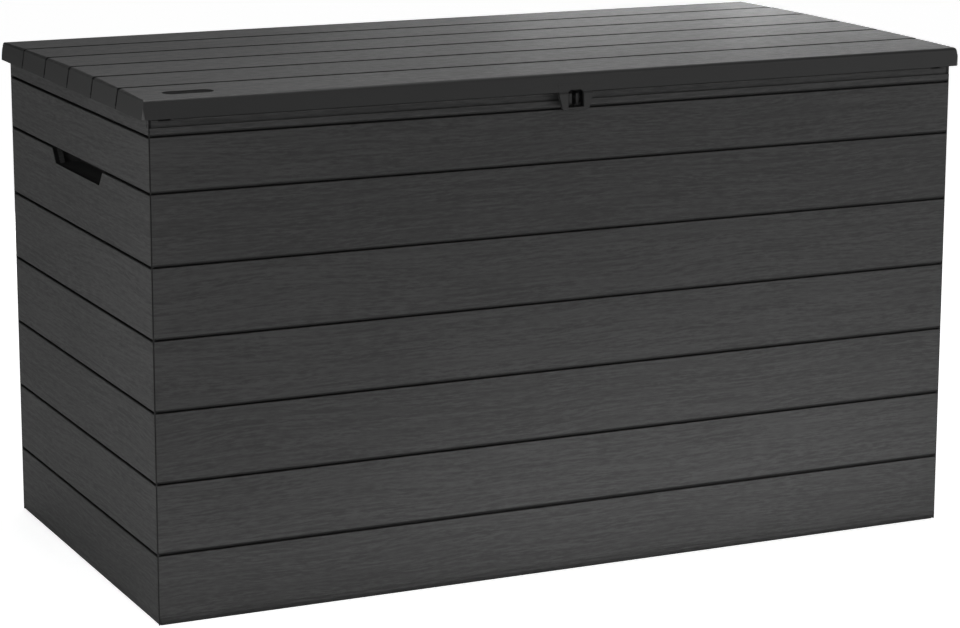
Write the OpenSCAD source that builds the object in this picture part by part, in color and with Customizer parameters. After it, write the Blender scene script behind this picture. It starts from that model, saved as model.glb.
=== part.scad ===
// Deck storage box: a knock-down resin chest with plank-look panels, a crowned lid
// on three pinned hinges, two gas struts and a padlock staple.
// X runs along the front, Y from front to back, Z up. The origin is on the ground,
// at the centre of the overall box. Millimetres.

/* [Body] */
// Length of the body along the front
body_w = 1380; // [1200:10:1500]
// Depth of the body from front to back
body_d = 698; // [600:2:800]
// Thickness of the double-wall panels
wall_t = 16; // [14:1:20]
// Width that a corner post's bead shows on each side of a corner
bead_w = 1.2; // [0.8:0.1:2]
// How far the bead lies behind the walls' faces
bead_set = 0.4; // [0.2:0.1:0.8]
// Open joint between the bead and a wall's mitred end
joint_gap = 0.4; // [0.3:0.1:1]

/* [Planks] */
// Height of the lowest course
bottom_course = 109.5; // [90:0.5:120]
// Pitch of the full courses above it
course_h = 110; // [96:1:116]
// Number of full courses
full_courses = 5; // [3:1:5]
// Height of the top course
top_course = 84.5; // [75:0.5:110]
// Width of the slot between two courses
groove_w = 2; // [1.5:0.1:4]
// Depth of that slot
groove_depth = 5; // [3:0.1:5]
// Height of the slope under a plank's face on the front and the back
under_bevel = 4.5; // [2:0.5:6]
// Depth of that slope
under_depth = 2.4; // [1:0.1:3]
// Edge broken along the top of such a plank
top_break = 0.5; // [0.3:0.1:1]
// Width of the slot between two courses of a side wall
side_groove_w = 3; // [2:0.1:4]
// Bevel on both sides of that slot
side_bevel = 1.5; // [0.5:0.1:2.5]
// Height of the slope along the foot of the walls
foot_chamfer = 7; // [3:0.5:9]
// Depth of that slope
foot_depth = 3; // [2:0.1:4]
// Height of the small step above it
foot_step = 13; // [10:0.5:16]
// Depth of that step
step_depth = 0.8; // [0.4:0.1:1.5]

/* [Rim] */
// Height of the band above the top groove
band_h = 13; // [10:0.5:20]
// Height of the collar from that band up to the rim
collar_h = 28; // [24:1:40]
// Set-back of the collar on the front
collar_recess = 3; // [1:0.5:4]
// Length of the drain slots in the collar
drain_w = 19; // [10:1:30]
// Height of the drain slots
drain_h = 2.6; // [1.5:0.1:4]
// Depth of the drain slots
drain_depth = 4; // [2:0.5:8]
// Distance of a drain slot from the body's corner
drain_inset = 16; // [12:1:40]
// Thickness of the tongue under the rim rails
tongue_t = 4; // [3:0.5:4.5]
// Reach of that tongue into the front panel
tongue_h = 8; // [5:0.5:12]

/* [Lid] */
// Height of the skirt that hangs round the lid
skirt_h = 29; // [24:1:32]
// Overhang of the skirt on the front
over_front = 10; // [8:0.5:16]
// Overhang of the skirt on the sides
over_side = 13; // [8:0.5:16]
// Overhang of the skirt on the back
over_back = 12; // [12:0.5:18]
// Outward slope of the skirt from top to bottom
skirt_flare = 4; // [2:0.5:6]
// Wall of the lid cover
cover_t = 4; // [3.5:0.5:6]
// Rise of the crown over the lid's edges
crown_h = 4; // [0:0.5:10]
// Number of planks across the lid
lid_planks = 6; // [4:1:8]
// Depth of the grooves in the lid
lid_groove_depth = 2.6; // [1:0.1:2.6]
// Width of the grooves in the lid
lid_groove_w = 4; // [2:0.1:5]
// Length of the slope down to a groove along a plank's back edge
lid_slope = 3; // [1:0.5:5]
// Drop of that slope
lid_slope_drop = 0.8; // [0.4:0.1:1.2]
// Rounding of the lid's top edges
edge_r = 6; // [2:0.5:6]
// Rounding of the lid's upright corners
lid_corner_r = 9; // [4:0.5:14]
// Lip below the side grooves
skirt_lip = 5; // [3:0.5:8]
// Thickness of the liner's flange
liner_t = 8; // [6:0.5:12]
// Depth of the liner's pan below the flange
pan_depth = 14; // [8:1:20]
// Distance from the rim's inner face to the pan
pan_inset = 34; // [30:1:50]
// Number of shallow fields pressed into the pan's underside
fields = 4; // [2:1:6]
// Margin round those fields
field_margin = 30; // [20:1:60]
// Rib left between two fields
field_rib = 24; // [16:1:50]
// Thickness of the rubber bumpers
bumper_t = 3; // [2:0.5:4]
// Height of the steel bars in the lid
bar_h = 16; // [10:1:18]
// Width of the steel bars in the lid
bar_w = 25; // [16:1:40]
// Wall of the steel bars
bar_wall = 1.5; // [1:0.1:2.5]
// Distance of a bar's end from the pan's end
bar_margin = 40; // [10:1:80]
// Place of the outer bars, as a share of half the pan's depth
bar_spread = 0.6; // [0.4:0.05:0.8]

/* [Latch] */
// Width of the lock hood at the top
hood_top_w = 58; // [48:1:70]
// Width of the lock hood at the bottom
hood_bottom_w = 44; // [40:1:56]
// Drop of the hood below the skirt
hood_drop = 30; // [26:1:36]
// Amount by which the hood stands proud of the skirt
hood_proud = 2; // [1:0.5:4]
// Thickness of the hood below the skirt
hood_t = 7; // [5:0.5:8]
// Height of the hood's tab, let into the skirt
hood_tab = 12; // [8:1:16]
// Depth of that tab
hood_inlay = 2.4; // [2:0.1:2.6]
// Height of the slope from the skirt's face to the hood's
hood_slope = 3; // [2:0.5:5]
// Width of the hood's window
window_w = 27; // [24:1:32]
// Height of the bar below the window
window_bar = 6; // [4:0.5:8]
// Radius of the padlock eye
eye_r = 4; // [3:0.1:4.5]
// Thickness of each staple lug
lug_t = 4.5; // [3:0.5:6]
// Clear distance between the lugs
lug_gap = 7; // [5:0.5:10]
// Width of the opening for the lock between the rim rails
pocket_w = 42; // [40:1:50]
// Depth of the pocket behind the hood
pocket_depth = 12; // [10:0.5:12]
// Thickness of the staple's plate
staple_t = 3; // [2:0.5:4]

/* [Hand grips] */
// Width of the grip slot at its top
grip_top_w = 258; // [200:1:300]
// Width of the grip slot at its bottom
grip_bottom_w = 220; // [160:1:260]
// Height of the grip slot
grip_h = 25; // [20:1:35]
// Depth of the cup behind the panel
cup_depth = 32; // [24:1:40]
// Reach of the cup above the slot
cup_rise = 28; // [20:1:40]
// Wall of the cup
cup_wall = 2.5; // [2:0.1:4]
// Width of the cup's flange
cup_flange = 12; // [8:1:20]

/* [Floor] */
// Thickness of the floor panels
floor_t = 22; // [16:1:30]
// Height of the feet and the centre beam under the floor
foot_h = 14; // [10:1:24]
// Radius of a foot
foot_r = 28; // [20:1:40]
// Width of the centre beam
beam_w = 70; // [50:1:100]
// Reach of the floor's tabs into the panels
tab_reach = 8; // [5:0.5:10]
// Width of a tab
tab_w = 60; // [40:1:90]
// Height of a tab
tab_h = 10; // [6:1:14]

/* [Corner posts] */
// Leg of the corner posts
post_w = 26; // [20:1:28]
// Thickness of the corner posts
post_t = 3; // [2:0.5:4]
// Radius of a screw's shank
screw_r = 2; // [1.5:0.1:2.2]
// Length of a screw under its head
screw_l = 12; // [9:1:13]

/* [Hinges] */
// Distance of the outer hinges from the body's ends
hinge_inset = 210; // [80:10:300]
// Length of a hinge
hinge_w = 90; // [70:1:110]
// Radius of the hinge barrel
barrel_r = 5.5; // [5:0.1:5.8]
// Radius of the hinge pin
pin_r = 2.5; // [2:0.1:3]
// Thickness of the hinge leaves
leaf_t = 2.5; // [2:0.1:2.6]
// Height of the base leaf below the hinge axis
leaf_h = 44; // [30:1:60]

/* [Gas struts] */
// Distance of the strut's foot from the back wall
foot_back = 47; // [46:1:60]
// Distance of the strut's foot below the rim
foot_drop = 200; // [180:5:240]
// Distance of the strut's upper stud in front of the hinge axis
stud_front = 154; // [130:2:180]
// Radius of the gas cylinder
cyl_r = 9; // [8:0.5:9.5]
// Length of the gas cylinder
cyl_l = 148; // [147:1:156]
// Radius of the piston rod
rod_r = 4; // [3:0.1:5]
// Radius of the studs
stud_r = 4; // [3:0.1:5]
// Width of the eyes at both ends of a strut
eye_w = 12; // [10:1:16]
// Length of the plates that carry the studs
stud_plate_l = 40; // [30:1:60]
// Height of the plate at a strut's foot
foot_plate_h = 50; // [40:1:80]

/* [Clearances] */
// Radial clearance of pins and rods that turn or slide
run_fit = 0.05; // [0.02:0.01:0.1]
// Clearance between parts that are pushed together
push_fit = 0.4; // [0.2:0.1:0.6]
// Clearance between parts that pass each other
pass_gap = 1; // [0.6:0.1:1.5]
// Gap between the bumpers and the rim
seat_gap = 0.3; // [0.1:0.1:0.5]

/* [Hidden] */
$fn = 48;
eps = 0.01;
far = 3000;

graphite = "#3c3c3d";
graphite_dark = "#242425";
zinc = "#9a9c9e";
steel = "#b8babc";
black = "#161616";
coated = "#47484a";

// Levels, from the ground up
groove_zs = [for (i = [0:full_courses]) bottom_course + i * course_h];
top_groove_z = groove_zs[full_courses] + top_course;
panel_grooves = concat(groove_zs, [top_groove_z]);
grip_z = groove_zs[full_courses];
collar_z = top_groove_z + band_h;
rim_z = collar_z + collar_h;
rail_z = top_groove_z + groove_w / 2;
tongue_inset = 12;
flange_z = rim_z + bumper_t;
edge_z = flange_z + liner_t + cover_t;
skirt_z = edge_z - skirt_h;
floor_top = foot_h + floor_t;

// Plan
total_w = body_w + 2 * over_side;
total_d = body_d + over_front + hood_proud + over_back;
side_x = body_w / 2;
front_y = -total_d / 2 + hood_proud + over_front;
back_y = front_y + body_d;
mid_y = (front_y + back_y) / 2;
inner_x = side_x - wall_t;
inner_front = front_y + wall_t;
inner_back = back_y - wall_t;
lid_front = front_y - over_front;
lid_back = back_y + over_back;
mitre = bead_w + joint_gap;

// Lid planks lie on a shallow arch, as flats between points on it
lid_d = lid_back - lid_front;
top_front = lid_front + skirt_flare;
top_back = lid_back - skirt_flare;
plank_pitch = (top_back - top_front) / lid_planks;
function plank_y(i) = top_front + i * plank_pitch;
function crown_z(i) = edge_z + crown_h * (1 - pow(2 * i / lid_planks - 1, 2));

// Liner's pan and the bars above it
pan_x = inner_x - pan_inset;
pan_y = (inner_back - inner_front) / 2 - pan_inset;
field_depth = 2;
bar_l = 2 * (pan_x - bar_margin);
lid_break = 0.5;
shadow_depth = 3;
shadow_set = 6;
bar_ys = [mid_y - bar_spread * pan_y, mid_y, mid_y + bar_spread * pan_y];

// Skirt's outer face at a height, measured back from its foot
function flare_at(z) = skirt_flare * (z - skirt_z) / skirt_h;

// Hinge axis, behind the back panel and just below the skirt
hinge_y = back_y + barrel_r + 0.5;
hinge_z = skirt_z - barrel_r - 3.5;
hinge_xs = [-side_x + hinge_inset, 0, side_x - hinge_inset];
knuckle_w = (hinge_w - 2 * pass_gap) / 3;

// Gas strut, with the lid shut
strut_plate = 3;
strut_x = inner_x - strut_plate - pass_gap - cyl_r;
foot_y = inner_back - foot_back;
foot_z = rim_z - foot_drop;
stud_y = hinge_y - stud_front;
stud_z = rim_z - 17;
strut_len = norm([stud_y - foot_y, stud_z - foot_z]);
strut_lean = atan2(foot_y - stud_y, stud_z - foot_z);
eye_ring_r = stud_r + 4;
cyl_start = eye_ring_r + 1;

// Lock, in a pocket between the rim rails
pocket_high = rim_z - 4;
lug_low = rail_z + 4;
lug_high = skirt_z - 2;
lug_tip = lid_front - hood_proud + hood_t + 2;
lug_round = 4;
eye_y = lug_tip + 2 + eye_r;
eye_z = (lug_low + lug_high) / 2;
window_low = skirt_z - hood_drop + window_bar;
window_high = skirt_z + 3;

// Side walls: +1 is the right side, -1 the left
LEFT = -1;
RIGHT = 1;

// ---- Shared shapes ----

// Quarter-circle points about a centre, from angle a to b
function arc(cx, cy, r, a, b, steps = 6) =
    [for (i = [0:steps]) [cx + r * cos(a + (b - a) * i / steps), cy + r * sin(a + (b - a) * i / steps)]];

// Square with rounded corners, as one outline
module rounded_plan(x, y0, y1, r) {
    polygon(concat(
        arc(x - r, y1 - r, r, 0, 90),
        arc(-x + r, y1 - r, r, 90, 180),
        arc(-x + r, y0 + r, r, 180, 270),
        arc(x - r, y0 + r, r, 270, 360)
    ));
}

// Slot between two courses: a slope of height h and depth d above it, and b broken below it
module course_slot(z, w, h, d, b) {
    polygon([
        [-eps, z - w / 2 - b], [b, z - w / 2], [groove_depth, z - w / 2],
        [groove_depth, z + w / 2], [d, z + w / 2], [-eps, z + w / 2 + h]
    ]);
}

// Cross-section of a wall before its slots: u = 0 is the outer face, z is up
module wall_section() {
    difference() {
        square([wall_t, rim_z]);
        polygon([
            [-eps, -eps], [foot_depth, -eps], [step_depth, foot_chamfer],
            [step_depth, foot_step - step_depth], [-eps, foot_step + eps]
        ]);
    }
}
module long_section(collar_set_back) {
    difference() {
        wall_section();
        for (z = panel_grooves)
            course_slot(z, groove_w, under_bevel, under_depth, top_break);
        translate([-eps, collar_z])
            square([collar_set_back + eps, rim_z]);
    }
}
module side_section() {
    difference() {
        wall_section();
        for (z = panel_grooves)
            course_slot(z, side_groove_w, side_bevel, side_bevel, side_bevel);
    }
}

// Plank wall between two ends and two levels, with its face on y = 0
module plank_wall(x0, x1, z0, z1, collar_set_back) {
    translate([x0, 0, 0])
        rotate([90, 0, 90])
            linear_extrude(x1 - x0)
                intersection() {
                    long_section(collar_set_back);
                    translate([0, z0])
                        square([wall_t, z1 - z0]);
                }
}

// A shape for the back right corner, mirrored to the other corners
module at_corner(mx, my) {
    translate([0, mid_y, 0])
        mirror([mx < 0 ? 1 : 0, 0, 0])
            mirror([0, my < 0 ? 1 : 0, 0])
                translate([0, -mid_y, 0])
                    children();
}

// What lies past the mitred ends of the front and the back
module past_long_mitres() {
    for (mx = [-1, 1], my = [-1, 1])
        at_corner(mx, my)
            translate([0, 0, -1])
                linear_extrude(rim_z + 2)
                    polygon([
                        [side_x - mitre + 1, back_y + 1], [side_x - mitre - wall_t - 1, inner_back - 1],
                        [side_x + 1, inner_back - 1], [side_x + 1, back_y + 1]
                    ]);
}

// What lies past the mitred ends of the right side wall
module past_side_mitres() {
    for (my = [-1, 1])
        at_corner(1, my)
            translate([0, 0, -1])
                linear_extrude(rim_z + 2)
                    polygon([
                        [side_x + 1, back_y - mitre + 1], [inner_x - 1, back_y - mitre - wall_t - 1],
                        [inner_x - 1, back_y + 1], [side_x + 1, back_y + 1]
                    ]);
}

// Tabs on the floor's edge, or with a clearance the pockets that take them
tab_z = foot_h + (floor_t - tab_h) / 2;
long_tabs = [-0.75, -0.25, 0.25, 0.75];
side_tabs = [-0.5, 0.5];
module long_tab(x, side_y, out, gap) {
    reach = tab_reach + gap;
    translate([x - tab_w / 2 - gap, out > 0 ? side_y - eps : side_y - reach, tab_z - gap])
        cube([tab_w + 2 * gap, reach + eps, tab_h + 2 * gap]);
}
module side_tab(y, side, gap) {
    reach = tab_reach + gap;
    translate([side > 0 ? inner_x - eps : -inner_x - reach, y - tab_w / 2 - gap, tab_z - gap])
        cube([reach + eps, tab_w + 2 * gap, tab_h + 2 * gap]);
}

// Heights of the screws in a corner post
post_low = floor_top;
post_high = rim_z - 12;
screw_zs = [post_low + 60, (post_low + post_high) / 2 - 30, post_high - 60];
screw_inset = post_t + (post_w - post_t) * 0.55;

// ---- Wall panels ----

module screw_holes(r, depth) {
    for (sx = [-1, 1], sy = [-1, 1], z = screw_zs) {
        edge_y = sy > 0 ? inner_back : inner_front;
        translate([sx * (inner_x - screw_inset), edge_y, z])
            rotate([sy > 0 ? -90 : 90, 0, 0])
                cylinder(h = depth, r = r);
        translate([sx * inner_x, edge_y - sy * screw_inset, z])
            rotate([0, sx * 90, 0])
                cylinder(h = depth, r = r);
    }
}

module front_panel() {
    color(graphite)
        difference() {
            translate([0, front_y, 0])
                plank_wall(-side_x, side_x, 0, rail_z, 0);
            past_long_mitres();
            for (side = [LEFT, RIGHT])
                rail_tongue(side, push_fit);
            for (t = long_tabs)
                long_tab(t * inner_x, inner_front, -1, push_fit);
            screw_holes(screw_r, screw_l - post_t + push_fit);
        }
}

// Tongue under one rim rail, or with a clearance the slot that takes it
module rail_tongue(side, gap) {
    x0 = pocket_w / 2 + tongue_inset - gap;
    x1 = inner_x - tongue_inset + gap;
    translate([side > 0 ? x0 : -x1, front_y + (wall_t - tongue_t) / 2 - gap, rail_z - tongue_h - gap])
        cube([x1 - x0, tongue_t + 2 * gap, tongue_h + gap + eps]);
}
// Two rails that carry the band and the collar, one on each side of the lock
module front_rim() {
    color(graphite)
        for (side = [LEFT, RIGHT])
            difference() {
                union() {
                    translate([0, front_y, 0])
                        plank_wall(side > 0 ? pocket_w / 2 : -side_x, side > 0 ? side_x : -pocket_w / 2,
                            rail_z, rim_z, collar_recess);
                    rail_tongue(side, 0);
                }
                past_long_mitres();
                // drain slot under the skirt's end
                translate([side * (side_x - drain_inset - drain_w / 2) - drain_w / 2, front_y, skirt_z - drain_h - 1])
                    cube([drain_w, collar_recess + drain_depth, drain_h]);
            }
}

module back_panel() {
    color(graphite)
        difference() {
            translate([0, back_y, 0])
                mirror([0, 1, 0])
                    plank_wall(-side_x, side_x, 0, rim_z, 0);
            past_long_mitres();
            for (t = long_tabs)
                long_tab(t * inner_x, inner_back, 1, push_fit);
            screw_holes(screw_r, screw_l - post_t + push_fit);
        }
}

// Slot for the fingers, right under the groove below the top course
module grip_slot() {
    translate([0, mid_y, 0])
        rotate([90, 0, 90])
            linear_extrude(side_x + 1)
                polygon([
                    [-grip_top_w / 2, grip_z],
                    [grip_top_w / 2, grip_z],
                    [grip_bottom_w / 2, grip_z - grip_h],
                    [-grip_bottom_w / 2, grip_z - grip_h]
                ]);
}

// Right side wall; the left one is its mirror image
module side_wall() {
    difference() {
        translate([side_x, back_y, 0])
            rotate([90, 0, 0])
                mirror([1, 0, 0])
                    linear_extrude(body_d)
                        side_section();
        past_side_mitres();
        // shadow line between the collar and the front corner
        translate([side_x - shadow_depth, front_y + shadow_set, collar_z])
            cube([shadow_depth + eps, groove_w, collar_h + 1]);
        grip_slot();
        for (t = side_tabs)
            side_tab(t * (inner_back - mid_y) + mid_y, RIGHT, push_fit);
        screw_holes(screw_r, screw_l - post_t + push_fit);
    }
}

module left_panel() { color(graphite) mirror([1, 0, 0]) side_wall(); }
module right_panel() { color(graphite) side_wall(); }

// Cup that closes the grip slot and leaves room for fingers behind the top course
module grip_cup(side) {
    y_in = grip_top_w / 2 + 1;
    z_low = grip_z - grip_h - 2;
    z_high = grip_z + cup_rise;
    color(graphite_dark)
        mirror([side < 0 ? 1 : 0, 0, 0])
            difference() {
                union() {
                    translate([inner_x - cup_wall, mid_y - y_in - cup_wall - cup_flange, z_low - cup_wall - cup_flange])
                        cube([cup_wall, 2 * (y_in + cup_wall + cup_flange),
                            z_high - z_low + 2 * (cup_wall + cup_flange)]);
                    translate([inner_x - cup_depth - cup_wall, mid_y - y_in - cup_wall, z_low - cup_wall])
                        cube([cup_depth + cup_wall, 2 * (y_in + cup_wall), z_high - z_low + 2 * cup_wall]);
                }
                translate([inner_x - cup_depth, mid_y - y_in, z_low])
                    cube([cup_depth + 1, 2 * y_in, z_high - z_low]);
            }
}

// ---- Floor ----

// Right half of the floor: a slab with shallow plank lines and locking tabs
module floor_half() {
    x0 = rib_w / 2 + push_fit;
    difference() {
        union() {
            translate([x0, inner_front + push_fit, foot_h])
                cube([inner_x - push_fit - x0, inner_back - inner_front - 2 * push_fit, floor_t]);
            for (t = [0.25, 0.75]) {
                translate([t * inner_x - tab_w / 2, inner_front - tab_reach, tab_z])
                    cube([tab_w, tab_reach + 2, tab_h]);
                translate([t * inner_x - tab_w / 2, inner_back - 2, tab_z])
                    cube([tab_w, tab_reach + 2, tab_h]);
            }
            for (t = side_tabs)
                translate([inner_x - 2, t * (inner_back - mid_y) + mid_y - tab_w / 2, tab_z])
                    cube([tab_reach + 2, tab_w, tab_h]);
        }
        for (i = [1:floor_lines])
            translate([0, inner_front + i * (inner_back - inner_front) / (floor_lines + 1), floor_top - 2])
                translate([-1, -groove_w / 2, 0])
                    cube([side_x, groove_w, 3]);
    }
}
rib_w = 4;
floor_lines = 5;

module floor_left() { color(graphite_dark) mirror([1, 0, 0]) floor_half(); }
module floor_right() { color(graphite_dark) floor_half(); }

// Beam under the joint of the two halves, with a rib that stands between them
module floor_beam() {
    color(graphite_dark)
        translate([0, inner_back - push_fit, 0])
            rotate([90, 0, 0])
                linear_extrude(inner_back - inner_front - 2 * push_fit)
                    polygon([
                        [-beam_w / 2, 0], [beam_w / 2, 0], [beam_w / 2, foot_h], [rib_w / 2, foot_h],
                        [rib_w / 2, floor_top - 4], [-rib_w / 2, floor_top - 4],
                        [-rib_w / 2, foot_h], [-beam_w / 2, foot_h]
                    ]);
}

module floor_feet() {
    color(black)
        for (side = [LEFT, RIGHT], fx = [0.25, 0.6, 0.92], fy = [-0.8, 0, 0.8])
            translate([side * fx * inner_x, mid_y + fy * (inner_back - mid_y), 0])
                cylinder(h = foot_h, r1 = foot_r - 3, r2 = foot_r);
}

// ---- Corner posts ----

// Web of a post that runs out between two mitres and ends in the bead
module bead_web(z0, z1, set, end) {
    translate([0, 0, z0])
        linear_extrude(z1 - z0)
            polygon([
                [side_x - set, back_y - set], [side_x - set - bead_w, back_y - set],
                [side_x - end, back_y - end + bead_w], [side_x - end, back_y - end],
                [side_x - end + bead_w, back_y - end], [side_x - set, back_y - set - bead_w]
            ]);
}

// Angle post in the back right corner; the others are its mirror images
module post(mx, my) {
    color(graphite_dark)
        at_corner(mx, my)
            difference() {
                union() {
                    translate([inner_x - post_w, inner_back - post_t, post_low])
                        cube([post_w, post_t, post_high - post_low]);
                    translate([inner_x - post_t, inner_back - post_w, post_low])
                        cube([post_t, post_w, post_high - post_low]);
                    bead_web(1, post_low + 1, bead_set, wall_t - push_fit);
                    bead_web(post_low, collar_z, bead_set, wall_t + bead_w);
                    bead_web(collar_z - 1, post_high, collar_recess + bead_set, wall_t + bead_w);
                    bead_web(post_high - 1, rim_z, collar_recess + bead_set, wall_t - push_fit);
                }
                for (z = screw_zs) {
                    translate([inner_x - screw_inset, inner_back - post_w, z])
                        rotate([-90, 0, 0])
                            cylinder(h = 2 * post_w, r = screw_r + push_fit / 2);
                    translate([inner_x - post_w, inner_back - screw_inset, z])
                        rotate([0, 90, 0])
                            cylinder(h = 2 * post_w, r = screw_r + push_fit / 2);
                }
            }
}

// Pan-head screw along +Z with the underside of its head at z = 0
module screw() {
    translate([0, 0, -2])
        cylinder(h = 2, r = screw_r * 2);
    cylinder(h = screw_l, r = screw_r - run_fit, $fn = 24);
}

module corner_screws() {
    color(steel)
        for (sx = [-1, 1], sy = [-1, 1], z = screw_zs) {
            edge_y = sy > 0 ? inner_back : inner_front;
            translate([sx * (inner_x - screw_inset), edge_y - sy * post_t, z])
                rotate([sy > 0 ? -90 : 90, 0, 0])
                    screw();
            translate([sx * (inner_x - post_t), edge_y - sy * screw_inset, z])
                rotate([0, sx * 90, 0])
                    screw();
        }
}

// ---- Lock ----

// Case that closes the pocket between the rails at the back and on top
module lock_case() {
    color(graphite_dark)
        translate([-pocket_w / 2 + push_fit, 0, 0])
            rotate([90, 0, 90])
                linear_extrude(pocket_w - 2 * push_fit)
                    polygon([
                        [inner_front, rail_z], [inner_front, rim_z], [front_y + collar_recess, rim_z],
                        [front_y + collar_recess, pocket_high], [front_y + pocket_depth, pocket_high],
                        [front_y + pocket_depth, rail_z]
                    ]);
}

// Staple: a plate in the pocket with two lugs that share the padlock's eye
module lock_staple() {
    plate_y = front_y + pocket_depth;
    color(coated)
        difference() {
            union() {
                translate([-pocket_w / 2 + 2 * push_fit, plate_y - staple_t, rail_z + push_fit])
                    cube([pocket_w - 4 * push_fit, staple_t, pocket_high - rail_z - 2 * push_fit]);
                for (side = [LEFT, RIGHT])
                    translate([side * (lug_gap + lug_t) / 2 - lug_t / 2, 0, 0])
                        rotate([90, 0, 90])
                            linear_extrude(lug_t)
                                polygon(concat(
                                    [[plate_y - staple_t + eps, lug_high], [plate_y - staple_t + eps, lug_low]],
                                    arc(lug_tip + lug_round, lug_low + lug_round, lug_round, 270, 180),
                                    arc(lug_tip + lug_round, lug_high - lug_round, lug_round, 180, 90)
                                ));
            }
            translate([-pocket_w / 2, eye_y, eye_z])
                rotate([0, 90, 0])
                    cylinder(h = pocket_w, r = eye_r);
        }
}

// Hood without its window: a tab let flush into the skirt, and a plate that hangs below it
module hood_blank() {
    tab_z = skirt_z + hood_tab;
    low_z = skirt_z - hood_drop;
    face_y = lid_front - hood_proud;
    intersection() {
        translate([-hood_top_w / 2, 0, 0])
            rotate([90, 0, 90])
                linear_extrude(hood_top_w)
                    polygon([
                        [lid_front + flare_at(tab_z), tab_z], [lid_front, skirt_z],
                        [face_y, skirt_z - hood_slope], [face_y, low_z + 3], [face_y + 3, low_z],
                        [face_y + hood_t, low_z], [face_y + hood_t, skirt_z],
                        [lid_front + hood_inlay, skirt_z], [lid_front + flare_at(tab_z) + hood_inlay, tab_z]
                    ]);
        translate([0, front_y, 0])
            rotate([90, 0, 0])
                linear_extrude(far)
                    polygon([
                        [-hood_top_w / 2, tab_z + 1], [-hood_top_w / 2, skirt_z - 4],
                        [-hood_bottom_w / 2 - 1, low_z + 5], [-hood_bottom_w / 2 + 4, low_z],
                        [hood_bottom_w / 2 - 4, low_z], [hood_bottom_w / 2 + 1, low_z + 5],
                        [hood_top_w / 2, skirt_z - 4], [hood_top_w / 2, tab_z + 1]
                    ]);
    }
}

// Hood on the lid's skirt; its lower bar passes in front of the lugs
module lock_hood() {
    color(graphite)
        difference() {
            hood_blank();
            window_cut(0);
        }
}

// Window through the hood, and with a clearance the notch in the skirt behind it
module window_cut(gap) {
    translate([0, front_y, 0])
        rotate([90, 0, 0])
            linear_extrude(far)
                polygon([
                    [-window_w / 2 - gap, window_low], [window_w / 2 + gap, window_low],
                    [window_w / 2 + gap, window_high - 4], [window_w / 2 - 4, window_high + gap],
                    [-window_w / 2 + 4, window_high + gap], [-window_w / 2 - gap, window_high - 4]
                ]);
}

// ---- Hinges ----

module barrel(x0, w, r) {
    translate([x0, hinge_y, hinge_z])
        rotate([0, 90, 0])
            cylinder(h = w, r = r);
}

// Base leaf on the back panel, with the two outer knuckles
module hinge_base(x) {
    color(zinc)
        difference() {
            union() {
                translate([x - hinge_w / 2, back_y, hinge_z - leaf_h])
                    cube([hinge_w, leaf_t, leaf_h]);
                barrel(x - hinge_w / 2, knuckle_w, barrel_r);
                barrel(x + hinge_w / 2 - knuckle_w, knuckle_w, barrel_r);
            }
            translate([x - knuckle_w / 2 - pass_gap, back_y - eps, hinge_z - barrel_r - pass_gap])
                cube([knuckle_w + 2 * pass_gap, 2 * barrel_r, 2 * barrel_r]);
            barrel(x - hinge_w, 2 * hinge_w, pin_r + run_fit);
        }
}

// Lid leaf: a middle knuckle, an upright behind the rim and a foot under the liner
module hinge_leaf(x) {
    upright_y = top_back - cover_t - leaf_t;
    foot_front = inner_back + 2;
    color(zinc)
        difference() {
            union() {
                barrel(x - knuckle_w / 2, knuckle_w, barrel_r);
                translate([x - knuckle_w / 2, upright_y, hinge_z])
                    cube([knuckle_w, leaf_t, flange_z - hinge_z]);
                translate([x - hinge_w / 2, foot_front, rim_z + 2 * seat_gap])
                    cube([hinge_w, upright_y + leaf_t - foot_front, bumper_t - 2 * seat_gap]);
            }
            barrel(x - hinge_w, 2 * hinge_w, pin_r + run_fit);
        }
}

module hinge_pin(x) {
    color(steel) {
        barrel(x - hinge_w / 2, hinge_w + 2, pin_r);
        barrel(x - hinge_w / 2 - 2, 2, pin_r + 1.5);
    }
}

// ---- Lid ----

// Outline from the end, with its top edge at a height and drawn in by an inset
module lid_end_outline(top, inset) {
    x0 = total_w / 2 - inset;
    x1 = x0 - skirt_flare;
    polygon(concat(
        [[x0, skirt_z]],
        arc(x1 - edge_r, top - edge_r, edge_r, 0, 90),
        arc(-x1 + edge_r, top - edge_r, edge_r, 90, 180),
        [[-x0, skirt_z]]
    ));
}
module lid_end_prism(top, inset) {
    translate([0, far / 2, 0])
        rotate([90, 0, 0])
            linear_extrude(far)
                lid_end_outline(top, inset);
}

// One plank with bevelled long edges; the first and last carry the front and back skirt
module lid_plank(i) {
    g = lid_groove_w / 2;
    first = i == 0;
    last = i == lid_planks - 1;
    y0 = plank_y(i);
    y1 = plank_y(i + 1);
    z0 = crown_z(i);
    z1 = crown_z(i + 1);
    front_edge = first
        ? concat([[lid_front, skirt_z]], arc(y0 + edge_r, z0 - edge_r, edge_r, 180, 90))
        : [[y0 + g, skirt_z], [y0 + g, z0 - lid_break], [y0 + g + lid_break, z0]];
    back_edge = last
        ? concat(arc(y1 - edge_r, z1 - edge_r, edge_r, 90, 0), [[lid_back, skirt_z]])
        : [[y1 - g - lid_slope, z1], [y1 - g, z1 - lid_slope_drop], [y1 - g, skirt_z]];
    intersection() {
        translate([-total_w / 2, 0, 0])
            rotate([90, 0, 90])
                linear_extrude(total_w)
                    polygon(concat(front_edge, back_edge));
        lid_end_prism(max(z0, z1), 0);
    }
}

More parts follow.
